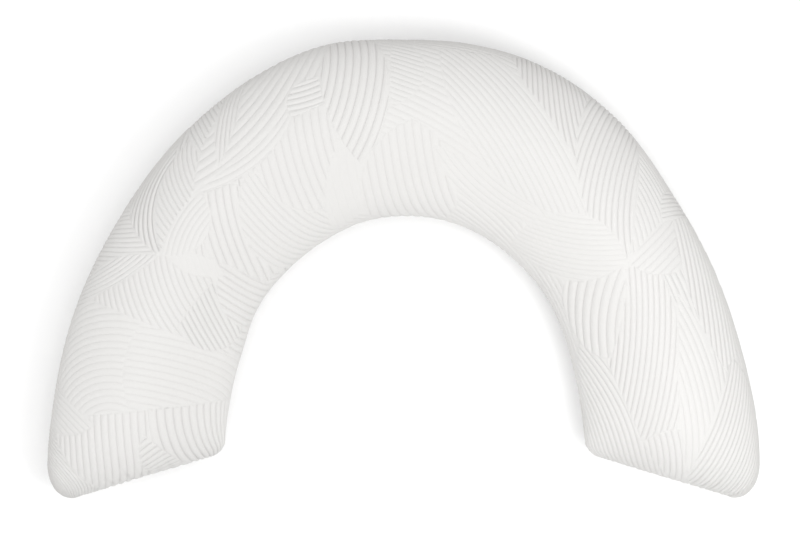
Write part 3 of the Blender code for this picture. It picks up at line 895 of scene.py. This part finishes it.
def cut_panel(panel, ring):
    """The panel's flat points, the seam's own first, and its triangles by point number."""
    seam = laid_flat(ring, panel)
    taken = {}
    claim(seam, taken)
    rings = apart(rings_inside(seam), taken)
    lines = apart([point[None] for point in gather_points(panel)], taken)
    lines += apart(guide_lines(panel), taken)
    count = len(seam)
    edges = [(number, (number + 1) % count) for number in range(count)]
    first = count + sum(map(len, rings))
    for line in lines:
        edges += [(number, number + 1) for number in range(first, first + len(line) - 1)]
        first += len(line)
    coords = [Vector(point) for point in np.concatenate([seam, *rings, *lines])]
    flat, _, triangles, sources, _, _ = delaunay_2d_cdt(coords, edges, [], INSIDE_ONLY, MERGE_WITHIN)
    number_of = {source[0]: number for number, source in enumerate(sources) if source}
    outline = [number_of[number] for number in range(count)]
    inner = sorted(set(range(len(flat))) - set(outline))
    place = {old: new for new, old in enumerate(outline + inner)}
    points = np.array([flat[number] for number in outline + inner])
    return points, np.array([[place[corner] for corner in triangle] for triangle in triangles])


PANELS = {panel: cut_panel(panel, seam_ring()) for panel in (FRONT, BACK)}
for panel, (flat, triangles) in PANELS.items():
    print(panel.name, "panel:", len(flat), "points,", len(triangles), "triangles")

# %% [markdown]
# ## Marks for the material
#
# The creases between ribs are finer than the mesh, so they are left to the material. A UV map gives it the
# count of the ribs across a field and their boldness. One number at each point is painted shade, which darkens
# the cloth where less light falls: along the outer side's seam, down the slope of the inner side and in the
# gathers.

# %% Rib counts and painted shade
# Painted shade: its share down the inner side and in the gathers, and how far in from the outer seam it
# reaches
INNER_PAINTED_SHADE = 0.27  # of the rim's shade
GATHER_PAINTED_SHADE = 250  # of the rim's shade for each metre that a gather is deep
PAINTED_SHADE_WIDTH = 0.070


def rib_map(flat, triangles, panel):
    """At each corner of each triangle, the count of ribs across its field and how boldly they show."""
    owner, _ = showing(flat[triangles].mean(axis=1), panel)
    _, bold = showing(flat, panel)
    corners = triangles.ravel()
    return np.column_stack([rib_turns(flat[corners], np.repeat(owner, 3), panel), bold[corners]])


def painted_shade_of(flat, panel):
    """Painted shade: 1 at the outer side's seam and less further in, with a share for the inner side and the
    gathers.
    """
    place = place_of(flat, panel)
    outer = smooth_step(place.share + 0.5) * smooth_step(place.end_gap / PAINTED_SHADE_WIDTH)
    painted_shade = outer * (1 - smooth_step(place.side_gap / PAINTED_SHADE_WIDTH))
    inner = np.sin(math.pi * np.clip(-place.share, 0, 1))
    return painted_shade + INNER_PAINTED_SHADE * inner + GATHER_PAINTED_SHADE * gathered(flat, panel)


print("deepest shade on the front panel:", round(painted_shade_of(PANELS[FRONT][0], FRONT).max(), 2))

# %% [markdown]
# ## Sewing the cover
#
# Each panel's points are lifted on to the filled form with their share of the ribs' height, and the two
# sets of triangles are joined along the shared ring. Two finished meshes could be merged by distance, but
# with shared points nothing needs a weld. The flat place of each corner is one more UV map, for the
# stitches.

# %% The cover's mesh
def sew_cover():
    """One closed mesh of both panels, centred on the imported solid's box, with its two UV maps."""
    ring = seam_ring()
    count = len(ring)
    seam_place = sewn(laid_flat(ring, FRONT), FRONT)
    points, faces, painted_shades, maps = [seam_place], [], [], {"cloth": [], "ribs": []}
    for panel, (flat, triangles) in PANELS.items():
        fade = smooth_step(seam_gap(flat, panel) / SEAM_FADE)
        lift = RIDGE_HEIGHT * (ridge_share(flat, panel) - PLAIN_LEVEL) * fade - gathered(flat, panel)
        offset = sum(map(len, points)) - count
        points.append(lifted(flat[count:], panel, lift[count:]))
        turned = triangles if panel.up > 0 else triangles[:, ::-1]
        faces.append(np.where(turned < count, turned, turned + offset))
        maps["cloth"].append(flat[turned.ravel()])
        maps["ribs"].append(rib_map(flat, turned, panel))
        # the painted shade of each point, the shared seam's points once
        painted_shades.append(painted_shade_of(flat, panel)[count if painted_shades else 0 :])
    points, faces = np.concatenate(points), np.concatenate(faces)
    low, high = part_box("pillow")
    middle = (seam_place.min(axis=0) + seam_place.max(axis=0)) / 2
    points += [(low.x + high.x) / 2 - middle[0], (low.y + high.y) / 2 - middle[1], 0]
    points[:, 2] = np.maximum(points[:, 2], low.z)
    mesh = bpy.data.meshes.new("pillow_cover")
    mesh.from_pydata(points.tolist(), [], faces.tolist())
    mesh.shade_smooth()
    for name, parts in maps.items():
        layer = mesh.uv_layers.new(name=name)
        layer.uv.foreach_set("vector", np.concatenate(parts).astype(np.float32).ravel())
    # the painted shade goes on the points, for the material
    mesh.attributes.new("painted_shade", "FLOAT", "POINT").data.foreach_set("value", np.concatenate(painted_shades))
    return add_object("pillow_cover", mesh)


cover = sew_cover()
print("cover:", len(cover.data.polygons), "triangles")

# %% [markdown]
# ## Maths on a material's sockets
#
# A material is a chain of nodes. Written out one by one they hide the idea, so a small class lets Python's
# operators add the Math nodes: `1 - crease * 0.24` reads as what it means. One function adds every other
# node.

# %% A small class for shader maths
def operator(operation, reflected=False):
    """A method for one sign. It is reflected where a plain number stands on the sign's left."""

    def method(self, *others):
        values = (*others, self) if reflected else (self, *others)
        return add_node(self.tree, "ShaderNodeMath", {"operation": operation}, *values)

    return method


class Socket:
    """A node's output that can be used in a Python expression."""

    def __init__(self, tree, output):
        self.tree, self.output = tree, output

    __add__, __radd__ = operator("ADD"), operator("ADD", True)
    __sub__, __rsub__ = operator("SUBTRACT"), operator("SUBTRACT", True)
    __mul__, __rmul__ = operator("MULTIPLY"), operator("MULTIPLY", True)
    __truediv__, __rtruediv__ = operator("DIVIDE"), operator("DIVIDE", True)
    __abs__, fraction = operator("ABSOLUTE"), operator("FRACT")


def add_node(tree, kind, settings, *values, output=None, **named):
    """A new node's output. Plain values go to its enabled inputs in order, and named ones by input name."""
    node = tree.nodes.new(kind)
    for name, setting in settings.items():
        setattr(node, name, setting)
    pairs = list(zip([socket for socket in node.inputs if socket.enabled], values))
    pairs += [(node.inputs[name], value) for name, value in named.items()]
    for socket, value in pairs:
        if isinstance(value, Socket):
            tree.links.new(value.output, socket)
        else:
            socket.default_value = value
    first = next(socket for socket in node.outputs if socket.enabled)
    return Socket(tree, node.outputs[output] if output else first)


print("sockets now take +, -, *, / and abs()")

# %% [markdown]
# ## White knitted cotton
#
# Close to, the cloth is rows of small V-shaped stitches in a matt, slightly fuzzy yarn. They are far too
# small to model, so they are a bump on the flat cloth's own coordinates: two slanting legs in each column,
# one V above another. The count of ribs draws the fine crease at the bottom of each valley and a soft mound
# for the ridge beside it. An image of knitwear would repeat and blur.

# %% Patterns of the stitches and the ribs
STITCH_WIDTH = 0.0013
STITCH_HEIGHT = 0.0010
STITCH_SLANT = 0.6  # how far a leg climbs across a column, in stitches
YARN_HOLLOW = 0.6  # how far the cloth falls between one stitch and the next
CREASE_WIDTH = 0.24  # share of the way from a valley to the ridge beside it


def uv_pair(tree, name):
    """Both numbers of a UV map."""
    corner = add_node(tree, "ShaderNodeUVMap", {"uv_map": name})
    return [add_node(tree, "ShaderNodeSeparateXYZ", {}, corner, output=axis) for axis in "XY"]


def stitch_pattern(tree):
    """The height of the small stitches: two slanting legs in each column, one V above another."""
    across, along = uv_pair(tree, "cloth")
    fold = abs((across / STITCH_WIDTH).fraction() - 0.5) * 2
    leg = 1 - abs(fold - 0.5) * 2
    yarn = 1 - abs((along / STITCH_HEIGHT + fold * STITCH_SLANT).fraction() - 0.5) * 2
    return leg * ((1 - YARN_HOLLOW) + yarn * YARN_HOLLOW)


def rib_pattern(tree):
    """The crease at the bottom of each valley, and the mound of the ridge beside it."""
    turns, bold = uv_pair(tree, "ribs")
    off_ridge = abs(turns.fraction() - 0.5) * 2
    near_valley = add_node(
        tree, "ShaderNodeMapRange", {"interpolation_type": "SMOOTHSTEP"}, off_ridge, 1 - CREASE_WIDTH, 1.0
    )
    return bold * near_valley, bold * (1 - off_ridge * off_ridge)


print("stitch, mm:", round(STITCH_WIDTH / MM, 2), "wide,", round(STITCH_HEIGHT / MM, 2), "high")

# %% [markdown]
# ## One material from the patterns
#
# A crease is painted a shade deeper than the ridges, because less light reaches its yarn. All that darkens the
# cloth, the creases and the painted shade of the outer side, the inner slope and the gathers, is taken off one
# tone, which picks a white between two close ones. A Mix node for each effect could do it, but here their
# strengths stand side by side. A slow cloudiness keeps the white from looking like paper, and a little sheen
# stands for the fuzz.

# %% The cover's material
PALE_COLOUR = (0.677, 0.670, 0.658, 1)
DEEP_COLOUR = (0.553, 0.544, 0.531, 1)
CLOUD_NOISE = {"Scale": 9.0, "Detail": 3.0, "Roughness": 0.55}
FUZZ_NOISE = {"Scale": 700.0, "Detail": 2.0, "Roughness": 0.7}
# Shares of the way from the deep colour to the pale one
PLAIN_TONE = 0.91
# Painted shade: the darkening of the creases and of the shaded points
CREASE_TONE, PAINTED_SHADE_TONE = 0.24, 0.66
CLOUD_TONE, STITCH_TONE, FUZZ_TONE = 0.17, 0.035, 0.06
# Shares of the bump's distance
BUMP_DISTANCE = 0.0004
MOUND_BUMP, STITCH_BUMP, FUZZ_BUMP = 1.3, 0.25, 0.2
YARN_ROUGHNESS, CREASE_ROUGHNESS, FUZZ_ROUGHNESS = 0.86, 0.06, 0.04


def knit_material():
    material = bpy.data.materials.new("ribbed_knit")
    material.use_nodes = True
    tree = material.node_tree
    shader = tree.nodes["Principled BSDF"]
    stitch = stitch_pattern(tree)
    crease, mound = rib_pattern(tree)
    # painted shade of the outer side, the inner slope and the gathers
    painted_shade = add_node(tree, "ShaderNodeAttribute", {"attribute_name": "painted_shade"}, output="Fac")
    place = add_node(tree, "ShaderNodeTexCoord", {}, output="Object")
    cloud = add_node(tree, "ShaderNodeTexNoise", {}, Vector=place, **CLOUD_NOISE)
    fuzz = add_node(tree, "ShaderNodeTexNoise", {}, Vector=place, **FUZZ_NOISE)

    # painted shade: the creases and the shaded points darken the colour where less light falls
    tone = PLAIN_TONE - crease * CREASE_TONE - painted_shade * PAINTED_SHADE_TONE
    tone = tone + (cloud - 0.5) * CLOUD_TONE + (stitch - 0.5) * STITCH_TONE + (fuzz - 0.5) * FUZZ_TONE
    colour = add_node(
        tree, "ShaderNodeMix", {"data_type": "RGBA", "clamp_factor": True}, tone, DEEP_COLOUR, PALE_COLOUR
    )
    roughness = YARN_ROUGHNESS + crease * CREASE_ROUGHNESS + fuzz * FUZZ_ROUGHNESS
    height = stitch * STITCH_BUMP + fuzz * FUZZ_BUMP + mound * MOUND_BUMP - crease
    bump = add_node(tree, "ShaderNodeBump", {}, Strength=1.0, Distance=BUMP_DISTANCE, Height=height)
    for name, socket in (("Base Color", colour), ("Roughness", roughness), ("Normal", bump)):
        tree.links.new(socket.output, shader.inputs[name])
    shader.inputs["Specular IOR Level"].default_value = 0.25
    shader.inputs["Sheen Weight"].default_value = 0.03
    shader.inputs["Sheen Roughness"].default_value = 0.45
    shader.inputs["Sheen Tint"].default_value = (1.0, 0.99, 0.97, 1)
    return material


cover.data.materials.append(knit_material())
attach(cover, "root")
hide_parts("pillow")
print("nodes:", len(cover.active_material.node_tree.nodes))

# %% [markdown]
# ## The studio
#
# A white thing on a white floor is shown by soft light alone. A wide lamp hangs high over the pillow, a
# smaller one over its right leg, and a weak one rakes across the ribs from the left. An even white sky
# fills the shadows. A lighting image could do it all, but lamps are easier to aim. The floor is lighter
# than the cloth, so that the outline reads.

# %% Floor, light and camera
FLOOR_SIZE = 12.0
FLOOR_COLOUR = (0.93, 0.93, 0.93, 1)
FLOOR_ROUGHNESS, FLOOR_SHINE = 0.9, 0.1
SKY_STRENGTH = 0.80
LAMPS = [  # name, place and size in metres, power in watts
    ("top_lamp", (0.0, 0.0, 2.6), 2.0, 20.7),
    ("near_lamp", (0.7, -0.5, 1.6), 0.8, 9.2),
    ("left_lamp", (-2.1, -0.3, 0.9), 0.8, 4.2),
]
CAMERA_HEIGHT = 3.2
FRAME_WIDTH = 1.2  # of what the camera sees at the seam's height
VIEW_CENTRE = (-0.0052, 0.0043)


def build_floor():
    shape = bmesh.new()
    bmesh.ops.create_grid(shape, x_segments=1, y_segments=1, size=FLOOR_SIZE / 2)
    mesh = bpy.data.meshes.new("floor")
    shape.to_mesh(mesh)
    shape.free()
    material = bpy.data.materials.new("pale_floor")
    material.use_nodes = True
    shader = material.node_tree.nodes["Principled BSDF"]
    shader.inputs["Base Color"].default_value = FLOOR_COLOUR
    shader.inputs["Roughness"].default_value = FLOOR_ROUGHNESS
    shader.inputs["Specular IOR Level"].default_value = FLOOR_SHINE
    mesh.materials.append(material)
    return add_object("floor", mesh)


def build_lamp(name, place, size, power):
    light = bpy.data.lights.new(name, "AREA")
    light.shape = "DISK"
    light.size = size
    light.energy = power
    lamp = add_object(name, light)
    lamp.location = place
    lamp.rotation_euler = (-Vector(place)).to_track_quat("-Z", "Y").to_euler()


def build_sky():
    world = bpy.data.worlds.new("sky")
    world.use_nodes = True
    background = world.node_tree.nodes["Background"]
    background.inputs["Color"].default_value = (1, 1, 1, 1)
    background.inputs["Strength"].default_value = SKY_STRENGTH
    bpy.context.scene.world = world


def build_camera():
    lens = bpy.data.cameras.new("camera")
    lens.sensor_fit = "HORIZONTAL"
    lens.angle = 2 * math.atan(FRAME_WIDTH / 2 / (CAMERA_HEIGHT - SEAM_HEIGHT))
    camera = add_object("camera", lens)
    camera.location = (*VIEW_CENTRE, CAMERA_HEIGHT)
    bpy.context.scene.camera = camera


build_floor()
for row in LAMPS:
    build_lamp(*row)
build_sky()
build_camera()
bpy.context.scene.view_settings.view_transform = "Standard"
print(len(LAMPS), "lamps")
